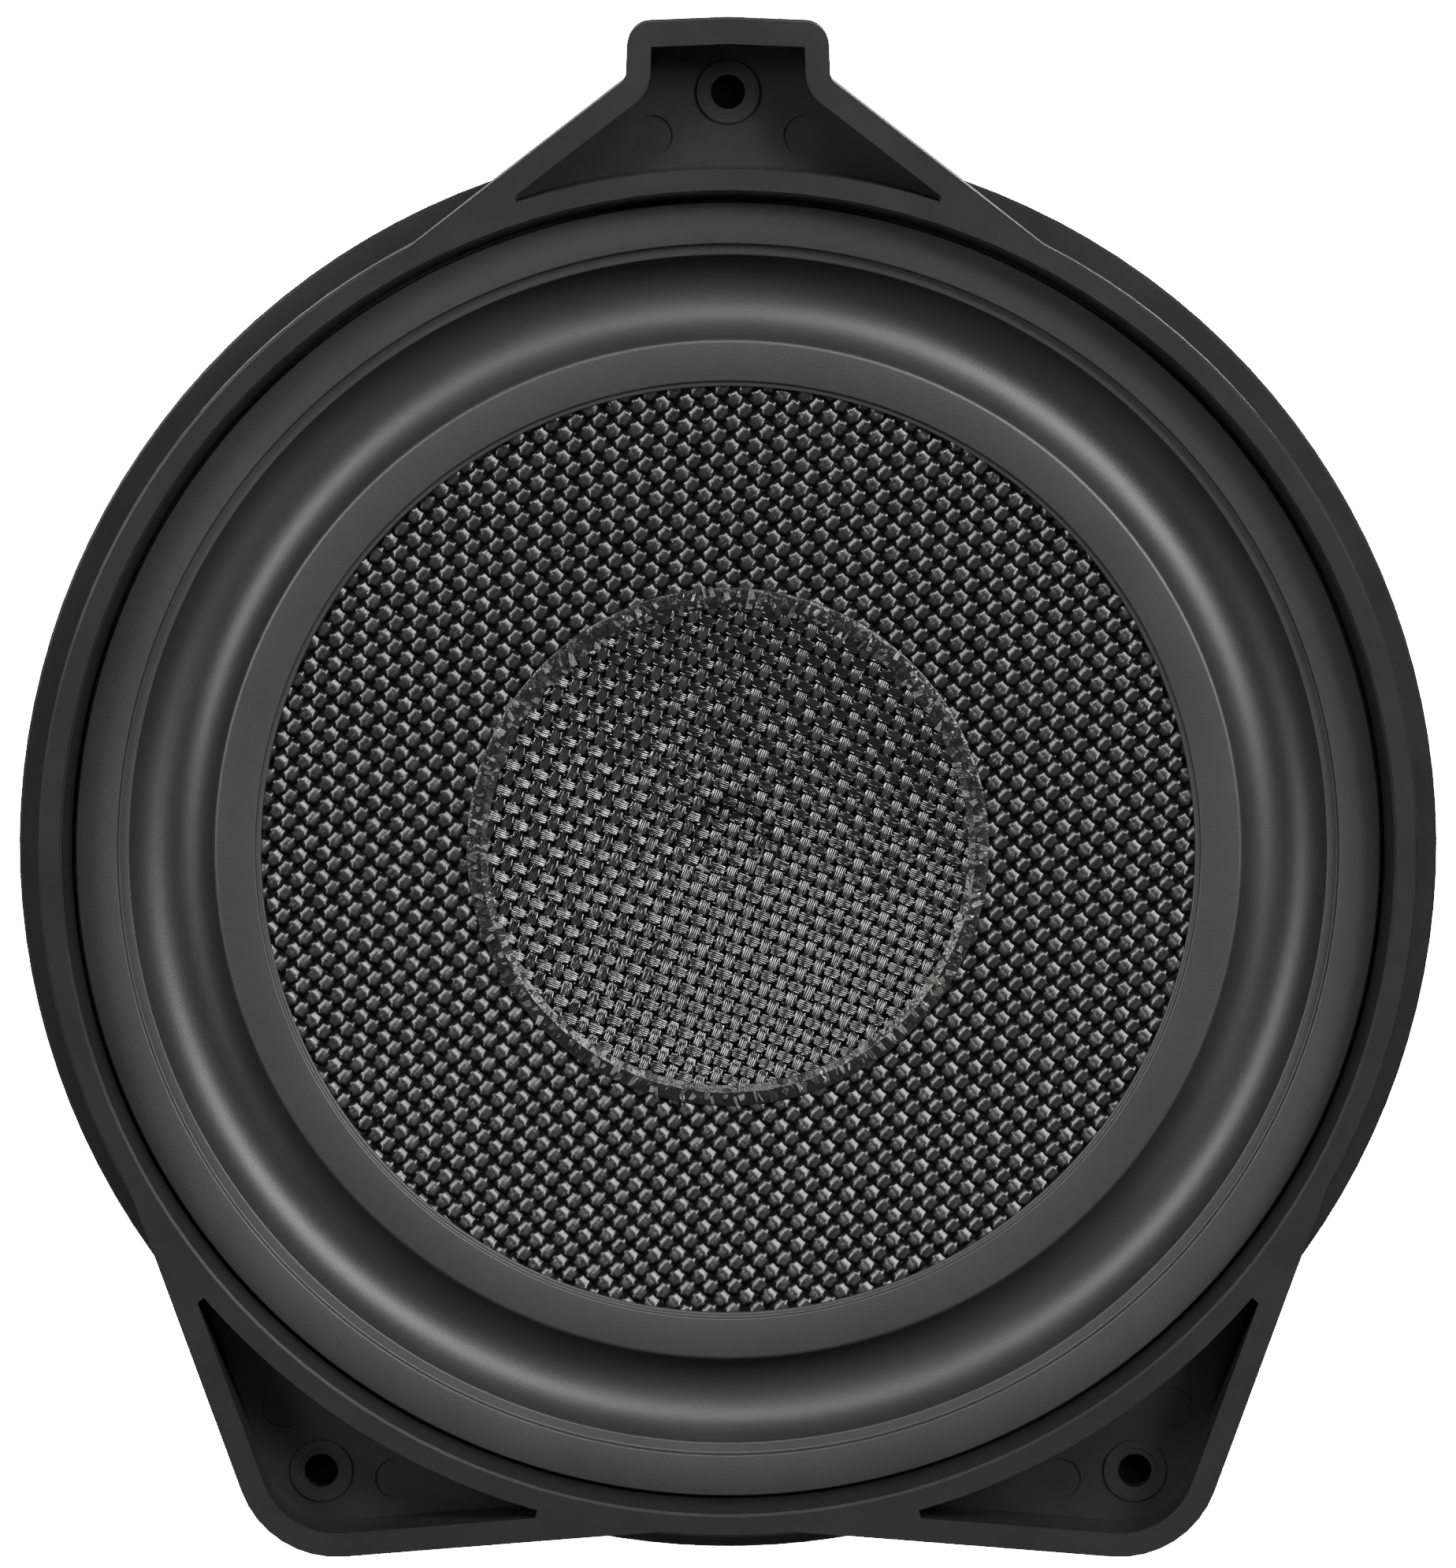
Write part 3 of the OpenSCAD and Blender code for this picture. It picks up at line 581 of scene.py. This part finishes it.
fibre = Finish("woven black fibre", {
    "Base Color": (0.015, 0.015, 0.015, 1), "Roughness": 0.3, "Specular IOR Level": 0.7})
strip = fibre.node("ShaderNodeUVMap", {"uv_map": "tow"})
tow_luck = fibre.node("ShaderNodeAttribute", {"attribute_name": "luck"}, out="Fac")
strip_x = fibre.node("ShaderNodeSeparateXYZ", None, {0: strip})
strip_y = Wire(fibre, strip_x.socket.node.outputs[1])
wander = fibre.noise(fibre.node("ShaderNodeCombineXYZ", None, {
    0: strip_x * 13, 1: strip_y * 0.9, 2: tow_luck * 90}), 1, 2, 0.6)
filaments = fibre.maths("SINE", strip_x * 75 + wander * 6)
fibre.feed("Base Color", fibre.colours(
    wander * 0.7 + tow_luck * 0.3, (0.001, 0.001, 0.001), (0.012, 0.012, 0.0118)))
fibre.feed("Roughness", 0.2 + 0.2 * wander)
fibre.bump(filaments * 0.35 + wander * 2.4, 0.000022, 1.0)

weave = cloth_nodes()
tow = bpy.data.objects.new("tow", tow_mesh("tow", 8, 4))
bpy.context.collection.objects.link(tow)
cone_cloth = grown("cone_cloth", weave, {
    "Tow": tow, "Pitch 1": 2.76 * MM, "Pitch 2": 2.42 * MM, "Turn": math.radians(45),
    "Inner": 38.0 * MM, "Outer": 72.6 * MM, "Rise": (cone_height - 0.25) * MM, "Slope": cone_slope,
    "Curve": 0.0, "Dimple Radius": 0.0, "Dimple Depth": 0.0, "Crown": 0.56 * MM,
    "Uneven": 0.07, "Seed": 7, "Material": fibre.material})
show(cone_cloth, "diaphragm", fibre)

# The dust cap: a dish of finer woven cloth under clear lacquer, with a small dimple, glued over the
# coil by its edge. The cloth lies at its own angle on a dark pressed dish.
cap_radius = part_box("dust_cap")[1].x / MM
cap_edge = -0.5
cap_depth = 4.6
dimple_radius = 4.7
dimple_slope = 3.0  # width of the ring over which the dimple rises
dimple_depth = 1.3


def cap_height(radius):
    return cap_edge - cap_depth * (1 - (radius / cap_radius) ** 2)


cap_start = dimple_radius + dimple_slope
cap_steps = [cap_start + (cap_radius - 0.4 - cap_start) * k / 16 for k in range(17)]
cap_floor = cap_height(0) - dimple_depth
cap_dish = turned("cap_dish", softened(
    [(0, cap_floor - 0.25), (dimple_radius, cap_floor - 0.25)]
    + [(r, cap_height(r) - 0.22) for r in cap_steps]
    + [(r, cap_height(r) - 0.5) for r in reversed(cap_steps)]
    + [(dimple_radius, cap_floor - 0.5), (0, cap_floor - 0.5)], 0.1), 192)
show(cap_dish, "diaphragm", resin)
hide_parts("dust_cap")

lacquered = Finish("lacquered black weave", {
    "Base Color": (0.012, 0.012, 0.012, 1), "Specular IOR Level": 1.0, "Roughness": 0.17})
strip = lacquered.node("ShaderNodeUVMap", {"uv_map": "tow"})
tow_luck = lacquered.node("ShaderNodeAttribute", {"attribute_name": "luck"}, out="Fac")
strip_x = lacquered.node("ShaderNodeSeparateXYZ", None, {0: strip})
strip_y = Wire(lacquered, strip_x.socket.node.outputs[1])
wander = lacquered.noise(lacquered.node("ShaderNodeCombineXYZ", None, {
    0: strip_x * 5, 1: strip_y * 0.8, 2: tow_luck * 90}), 1, 2, 0.6)
filaments = lacquered.maths("SINE", strip_x * 44 + wander * 3)
lacquered.feed("Base Color", lacquered.colours(wander, (0.0005, 0.0005, 0.0005), (0.003, 0.003, 0.003)))
lacquered.bump(filaments + wander * 0.5, 0.000023, 1.0)
cap_cloth = grown("cap_cloth", weave, {
    "Tow": tow, "Pitch 1": 2.2 * MM, "Pitch 2": 2.1 * MM, "Turn": math.radians(-21),
    "Inner": 0.0, "Outer": 37.6 * MM, "Rise": (cap_height(0) - 0.12) * MM, "Slope": 0.0,
    "Curve": cap_depth / cap_radius ** 2 / MM, "Dimple Radius": dimple_radius * MM,
    "Dimple Depth": dimple_depth * MM, "Crown": 0.12 * MM, "Uneven": 0.05,
    "Seed": 11, "Material": lacquered.material})
show(cap_cloth, "diaphragm", lacquered)
bpy.data.objects.remove(tow)

# The glue ring: clear glue squeezed out around the cap's edge, smoothed over by hand. The cut ends of
# the cap's cloth lie frayed inside it.
glue_outer = 40.2
glue_inner = cap_radius - 1.9
clear_glue = Finish("clear glue", {
    "Base Color": (0.004, 0.004, 0.004, 1), "Roughness": 0.2})
lumps = clear_glue.noise(clear_glue.place(), 420, 3, 0.6)
clear_glue.feed("Base Color", clear_glue.colours(lumps, (0.002, 0.002, 0.002), (0.008, 0.008, 0.008)))
clear_glue.feed("Roughness", 0.15 + 0.35 * lumps)
clear_glue.bump(lumps, 0.0007, 0.8)
glue_bead = turned("glue_bead", softened([
    (glue_inner, cap_height(glue_inner) - 0.3), (glue_inner + 0.2, cap_height(glue_inner) + 0.05),
    (cap_radius - 0.6, cap_edge + 0.12), (cap_radius + 0.8, cap_edge + 0.05),
    (glue_outer - 0.1, cone_line(glue_outer) + 0.35), (glue_outer, cone_line(glue_outer) - 0.2),
    (cap_radius, cone_line(cap_radius) - 0.35)], 0.1), 192)
show(glue_bead, "diaphragm", clear_glue)
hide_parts("cap_adhesive")


def sliver_mesh():
    """A split end of a tow, one unit long: a thin wedge with a ragged tip."""
    work = bmesh.new()
    top = [work.verts.new(p) for p in ((-0.5, 0, 0.2), (-0.38, 0.6, 0.55), (-0.2, 1, 0.15), (0.05, 0.75, 0.7),
                                       (0.3, 0.95, 0.3), (0.5, 0, 0.25))]
    under = [work.verts.new((v.co.x * 0.8, v.co.y * 0.95, v.co.z - 0.6)) for v in top]
    work.faces.new(top[::-1])
    work.faces.new(under)
    for k in range(len(top)):
        following = (k + 1) % len(top)
        work.faces.new((top[k], top[following], under[following], under[k]))
    bmesh.ops.recalc_face_normals(work, faces=work.faces)
    mesh = bpy.data.meshes.new("sliver")
    work.to_mesh(mesh)
    work.free()
    return mesh


def fray_nodes():
    """Geometry nodes that strew slivers around a circle, pointing outwards with a random lean."""
    tree = bpy.data.node_groups.new("frayed ends around a circle", "GeometryNodeTree")
    sockets = [("Sliver", "NodeSocketObject"), ("Count", "NodeSocketInt"), ("Inner", "NodeSocketFloat"),
               ("Outer", "NodeSocketFloat"), ("Height", "NodeSocketFloat"), ("Length", "NodeSocketFloat"),
               ("Width", "NodeSocketFloat"), ("Seed", "NodeSocketInt"), ("Material", "NodeSocketMaterial")]
    for label, kind in sockets:
        tree.interface.new_socket(label, in_out="INPUT", socket_type=kind)
    tree.interface.new_socket("Geometry", in_out="OUTPUT", socket_type="NodeSocketGeometry")
    g = Graph(tree)
    group_input = tree.nodes.new("NodeGroupInput")
    given = {label: Wire(g, group_input.outputs[label]) for label, kind in sockets}

    def chance(low, high, step):
        return g.node("FunctionNodeRandomValue", {"data_type": "FLOAT"}, {
            2: low, 3: high, "Seed": given["Seed"] + step}, out=1)

    points = g.node("GeometryNodePoints", None, {"Count": given["Count"]})
    turn = (g.node("GeometryNodeInputIndex") + chance(-0.45, 0.45, 1)) / given["Count"] * (2 * math.pi)
    radius = chance(given["Inner"], given["Outer"], 2)
    placed = g.node("GeometryNodeSetPosition", None, {
        "Geometry": points, "Position": g.node("ShaderNodeCombineXYZ", None, {
            0: radius * g.maths("COSINE", turn), 1: radius * g.maths("SINE", turn), 2: given["Height"]})})
    heading = turn - math.pi / 2 + chance(-0.55, 0.55, 3)
    angles = g.node("ShaderNodeCombineXYZ", None, {
        0: chance(-0.14, 0.1, 4), 1: chance(-0.4, 0.4, 5), 2: heading})
    lean = g.node("FunctionNodeEulerToRotation", None, {0: angles})
    size = g.node("ShaderNodeCombineXYZ", None, {
        0: given["Width"] * chance(0.5, 1.5, 6), 1: given["Length"] * chance(0.5, 1.3, 7),
        2: given["Width"] * 0.5})
    sliver = g.node("GeometryNodeObjectInfo", None, {"Object": given["Sliver"]}, out="Geometry")
    # the places are fixed before the random numbers are read again, so a sliver keeps its own
    strewn = g.node("GeometryNodeInstanceOnPoints", None, {
        "Points": placed, "Instance": sliver, "Rotation": lean, "Scale": size})
    luck = g.node("FunctionNodeRandomValue", {"data_type": "FLOAT"}, {"Seed": given["Seed"] + 9}, out=1)
    marked = g.node("GeometryNodeStoreNamedAttribute", {"data_type": "FLOAT", "domain": "INSTANCE"}, {
        "Geometry": strewn, "Name": "luck", "Value": luck})
    real = g.node("GeometryNodeRealizeInstances", None, {"Geometry": marked})
    stood = g.node("GeometryNodeTransform", None, {"Geometry": real, "Rotation": (math.pi / 2, 0, 0)})
    painted = g.node("GeometryNodeSetMaterial", None, {"Geometry": stood, "Material": given["Material"]})
    group_output = tree.nodes.new("NodeGroupOutput")
    tree.links.new(painted.socket, group_output.inputs[0])
    return tree


frayed = Finish("frayed fibre in glue", {
    "Base Color": (0.1, 0.1, 0.1, 1), "Roughness": 0.3, "Coat Weight": 0.5, "Coat Roughness": 0.1})
fray_luck = frayed.node("ShaderNodeAttribute", {"attribute_name": "luck"}, out="Fac")
fray_fleck = frayed.noise(frayed.place(), 2500, 2)
frayed.feed("Base Color", frayed.colours(
    fray_luck * fray_luck * fray_fleck * 1.6, (0.008, 0.008, 0.008), (0.12, 0.12, 0.118)))
frayed.bump(fray_fleck, 0.0002, 0.6)
sliver = bpy.data.objects.new("sliver", sliver_mesh())
bpy.context.collection.objects.link(sliver)
fray = fray_nodes()
for label, count, first, last, height, long, seed in (
        ("frayed_inner_ends", 190, 36.5, 37.5, cap_edge - 0.1, 2.0, 3),
        ("frayed_outer_ends", 170, 37.8, 38.9, cap_edge + 0.12, 1.6, 5)):
    ends = grown(label, fray, {
        "Sliver": sliver, "Count": count, "Inner": first * MM, "Outer": last * MM, "Height": height * MM,
        "Length": long * MM, "Width": 0.8 * MM, "Seed": seed, "Material": frayed.material})
    show(ends, "diaphragm", frayed)
bpy.data.objects.remove(sliver)

# The spider: resin-stiffened cotton cloth, pressed into five waves. It centres the coil; its rim is
# glued to the basket's ledge and its neck to the coil's collar.
spider_middle, cloth, wave = -17.05, 0.5, 1.9
wave_inner, wave_outer, waves = 27.5, 51.0, 5
spider_rim = 57.3
cotton = Finish("spider cloth", {"Base Color": (0.45, 0.3, 0.12, 1), "Roughness": 0.85})
spot = cotton.node("ShaderNodeSeparateXYZ", None, {0: cotton.place()})
warp = cotton.maths("SINE", spot * 7500)
weft = cotton.maths("SINE", Wire(cotton, spot.socket.node.outputs[2]) * 7500)
threads = warp * weft * 0.5 + 0.5
stains = cotton.noise(cotton.place(), 60, 3)
cotton.feed("Base Color", cotton.colours(threads * 0.6 + stains * 0.4, (0.24, 0.14, 0.05), (0.6, 0.42, 0.18)))
cotton.feed("Roughness", 0.7 + 0.2 * threads)
cotton.bump(threads, 0.00015, 0.7)
crimps = [(wave_inner + (wave_outer - wave_inner) * k / (waves * 12),
           spider_middle + wave * math.sin(2 * math.pi * k / 12)) for k in range(waves * 12 + 1)]
spider = turned("spider", (
    [(25.9, spider_middle - cloth / 2), (25.9, spider_middle + 1.8), (26.4, spider_middle + 1.8)]
    + [(r, h + cloth / 2) for r, h in crimps]
    + [(spider_rim, spider_middle + cloth / 2), (spider_rim, spider_middle - cloth / 2)]
    + [(r, h - cloth / 2) for r, h in reversed(crimps)]), 192)
stretch_between(spider, 52 * MM, 27 * MM, cotton)
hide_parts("spider")

# The coil: copper wire on a former of brown film, with a paper collar, and black glue where the cone
# and the spider hold it. These are simple turned pieces, mostly hidden.
def finish_node(node, finish):
    """Gives a CAD node that is shown as it is the finish of its real material."""
    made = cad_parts[node]
    made.data.materials.clear()
    made.data.materials.append(finish.material)


film = Finish("brown film", {"Base Color": (0.3, 0.14, 0.03, 1), "Roughness": 0.3})
film.feed("Base Color", film.colours(film.noise(film.place(), 200), (0.22, 0.09, 0.02), (0.34, 0.17, 0.05)))
finish_node("coil_former", film)
copper = Finish("lacquered copper", {"Base Color": (0.7, 0.28, 0.12, 1), "Metallic": 1.0, "Roughness": 0.3})
depth = Wire(copper, copper.node("ShaderNodeSeparateXYZ", None, {0: copper.place()}).socket.node.outputs[1])
turns = copper.maths("ABSOLUTE", copper.maths("SINE", depth * 6300))
copper.feed("Base Color", copper.colours(turns, (0.3, 0.09, 0.03), (0.78, 0.34, 0.16)))
copper.bump(turns, 0.0002, 0.8)
for node in ("coil_winding", "lead_out_positive", "lead_out_negative"):
    finish_node(node, copper)
paper = Finish("kraft paper", {"Base Color": (0.25, 0.15, 0.08, 1), "Roughness": 0.9})
pulp = paper.noise(paper.place(), 1200, 4)
paper.feed("Base Color", paper.colours(pulp, (0.16, 0.09, 0.045), (0.34, 0.22, 0.12)))
paper.bump(pulp, 0.0001, 0.5)
finish_node("coil_collar", paper)
black_glue = Finish("black glue", {"Base Color": (0.01, 0.01, 0.01, 1), "Roughness": 0.3})
runs = black_glue.noise(black_glue.place(), 350, 2)
black_glue.feed("Roughness", 0.2 + 0.3 * runs)
black_glue.bump(runs, 0.0004, 0.7)
for node in ("neck_adhesive", "spider_adhesive"):
    finish_node(node, black_glue)

# The tinsel leads: copper tinsel braided over a thread, with play for the cone's travel. Each runs from
# its rivet over the spider to a blob of solder and glue on the back of the cone.
def hose(name, route, radius, sides=10, closeness=8):
    """A round cord along a smooth curve through the route's points, in mm, with closed ends."""
    points = [Vector((x, -z, y)) * MM for x, y, z in route]
    ghosts = [points[0] * 2 - points[1]] + points + [points[-1] * 2 - points[-2]]
    path = []
    for k in range(1, len(ghosts) - 2):
        p0, p1, p2, p3 = ghosts[k - 1:k + 3]
        for step in range(closeness):
            t = step / closeness
            path.append(0.5 * (2 * p1 + (p2 - p0) * t + (2 * p0 - 5 * p1 + 4 * p2 - p3) * t * t
                               + (3 * p1 - p0 - 3 * p2 + p3) * t ** 3))
    path.append(points[-1])
    work = bmesh.new()
    uv = work.loops.layers.uv.new("braid")
    rings, reach, side = [], 0.0, Vector((0, 0, 1))
    lengths = []
    for k, spot in enumerate(path):
        ahead = (path[min(k + 1, len(path) - 1)] - path[max(k - 1, 0)]).normalized()
        side = (side - ahead * side.dot(ahead)).normalized()
        up = ahead.cross(side)
        reach += (spot - path[k - 1]).length if k else 0.0
        lengths.append(reach)
        angles = [2 * math.pi * j / sides for j in range(sides)]
        rings.append([work.verts.new(spot + (side * math.cos(a) + up * math.sin(a)) * radius * MM)
                      for a in angles])
    for k in range(len(rings) - 1):
        for j in range(sides):
            after = (j + 1) % sides
            face = work.faces.new((rings[k][j], rings[k][after], rings[k + 1][after], rings[k + 1][j]))
            face.smooth = True
            around = (j, j + 1, j + 1, j)
            along = (lengths[k], lengths[k], lengths[k + 1], lengths[k + 1])
            for loop, a, d in zip(face.loops, around, along):
                loop[uv].uv = (a / sides, d / MM)
    work.faces.new(rings[0][::-1])
    work.faces.new(rings[-1])
    bmesh.ops.recalc_face_normals(work, faces=work.faces)
    mesh = bpy.data.meshes.new(name)
    work.to_mesh(mesh)
    work.free()
    return bpy.data.objects.new(name, mesh)


tinsel = Finish("braided tinsel", {"Base Color": (0.6, 0.5, 0.4, 1), "Metallic": 0.9, "Roughness": 0.35})
wrap = tinsel.node("ShaderNodeUVMap", {"uv_map": "braid"})
wrap_around = tinsel.node("ShaderNodeSeparateXYZ", None, {0: wrap})
wrap_along = Wire(tinsel, wrap_around.socket.node.outputs[1])
one_way = tinsel.maths("SINE", wrap_around * (math.pi * 8) + wrap_along * 3.5)
other_way = tinsel.maths("SINE", wrap_around * (math.pi * 8) - wrap_along * 3.5)
strands = one_way * other_way * 0.5 + 0.5
tinsel.feed("Base Color", tinsel.colours(strands, (0.22, 0.15, 0.1), (0.75, 0.62, 0.48)))
tinsel.bump(strands, 0.0003, 0.9)
for sign, lead_name, node in ((1, "tinsel_lead_a", "tinsel_lead_positive"),
                              (-1, "tinsel_lead_b", "tinsel_lead_negative")):
    lead = hose(lead_name, [(x, sign * y, z) for x, y, z in (
        (68, 6, -24.95), (68, 6.2, -20), (65.5, 6.8, -14.5), (60, 7.4, -10.6), (53.5, 8, -9.4),
        (46.5, 8.2, -8), (40.5, 8.2, -5.2), (36.6, 8.1, -3.8))], 0.9)
    stretch_between(lead, 66 * MM, 40 * MM, tinsel)
    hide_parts(node)
solder = Finish("solder", {"Base Color": (0.55, 0.55, 0.56, 1), "Metallic": 1.0, "Roughness": 0.3})
frost = solder.noise(solder.place(), 1500, 2)
solder.feed("Roughness", 0.2 + 0.35 * frost)
solder.bump(frost, 0.0001, 0.5)
for node in ("lead_joint_positive", "lead_joint_negative"):
    finish_node(node, solder)

# The motor: a ferrite ring between a top plate and a yoke of zinc-plated steel, whose pole has a vent
# behind a screen. Four screws hold it under the basket's shelf.
zinc = Finish("zinc-plated steel", {"Base Color": (0.5, 0.51, 0.53, 1), "Metallic": 1.0, "Roughness": 0.34})
spangle = zinc.noise(zinc.place(), 700, 3)
haze = zinc.noise(zinc.place(), 35, 3)
zinc.feed("Base Color", zinc.colours(haze, (0.38, 0.39, 0.41), (0.58, 0.59, 0.6)))
zinc.feed("Roughness", 0.26 + 0.12 * spangle + 0.1 * haze)
zinc.bump(spangle, 0.00005, 0.4)
for node, label, ease in (("top_plate", "turned_top_plate", 0.4), ("yoke", "turned_yoke", 0.5)):
    show(eased_copy(node, label, ease * MM), "frame", zinc)
ferrite = Finish("ground ferrite", {"Base Color": (0.05, 0.05, 0.053, 1), "Roughness": 0.6})
specks = ferrite.noise(ferrite.place(), 900, 4)
grind = ferrite.noise(ferrite.place(), 50, 2)
ferrite.feed("Base Color", ferrite.colours(specks, (0.03, 0.03, 0.032), (0.085, 0.085, 0.088)))
ferrite.feed("Roughness", 0.5 + 0.2 * grind)
ferrite.bump(specks, 0.0001, 0.6)
show(eased_copy("magnet", "ferrite_ring", 0.5 * MM), "frame", ferrite)
mesh_steel = Finish("screen steel", {"Base Color": (0.2, 0.2, 0.2, 1), "Metallic": 1.0, "Roughness": 0.45})
tarnish = mesh_steel.noise(mesh_steel.place(), 800, 2)
mesh_steel.feed("Base Color", mesh_steel.colours(tarnish, (0.12, 0.12, 0.12), (0.26, 0.26, 0.26)))
finish_node("vent_screen", mesh_steel)
black_zinc = Finish("black zinc", {"Base Color": (0.04, 0.04, 0.042, 1), "Metallic": 0.9, "Roughness": 0.35})
worn = black_zinc.noise(black_zinc.place(), 600, 3)
black_zinc.feed("Base Color", black_zinc.colours(worn, (0.025, 0.025, 0.026), (0.1, 0.1, 0.1)))
black_zinc.feed("Roughness", 0.25 + 0.25 * worn)
for number in range(1, 5):
    screw = eased_copy("motor_screw_%d" % number, "socket_screw_%d" % number, 0.15 * MM)
    show(screw, "frame", black_zinc)

# The terminals: a board of brown paper laminate riveted to the basket's shelf, with a wide and a narrow
# push-on blade of tinned brass.
laminate = Finish("paper laminate", {"Base Color": (0.25, 0.12, 0.05, 1), "Roughness": 0.5})
fibres = laminate.noise(laminate.place(), 400, 4)
laminate.feed("Base Color", laminate.colours(fibres, (0.17, 0.075, 0.03), (0.33, 0.17, 0.08)))
laminate.feed("Roughness", 0.35 + 0.3 * fibres)
show(eased_copy("terminal_board", "laminate_board", 0.15 * MM), "frame", laminate)
brass = Finish("tinned brass", {"Base Color": (0.75, 0.68, 0.5, 1), "Metallic": 1.0, "Roughness": 0.3})
rolled = brass.noise(brass.place(), 500, 3)
brass.feed("Base Color", brass.colours(rolled, (0.6, 0.5, 0.3), (0.8, 0.75, 0.62)))
brass.feed("Roughness", 0.2 + 0.25 * rolled)
for node, label in (("terminal_positive", "wide_blade"), ("terminal_negative", "narrow_blade"),
                    ("rivet_positive", "rivet_a"), ("rivet_negative", "rivet_b")):
    show(eased_copy(node, label, 0.08 * MM), "frame", brass)
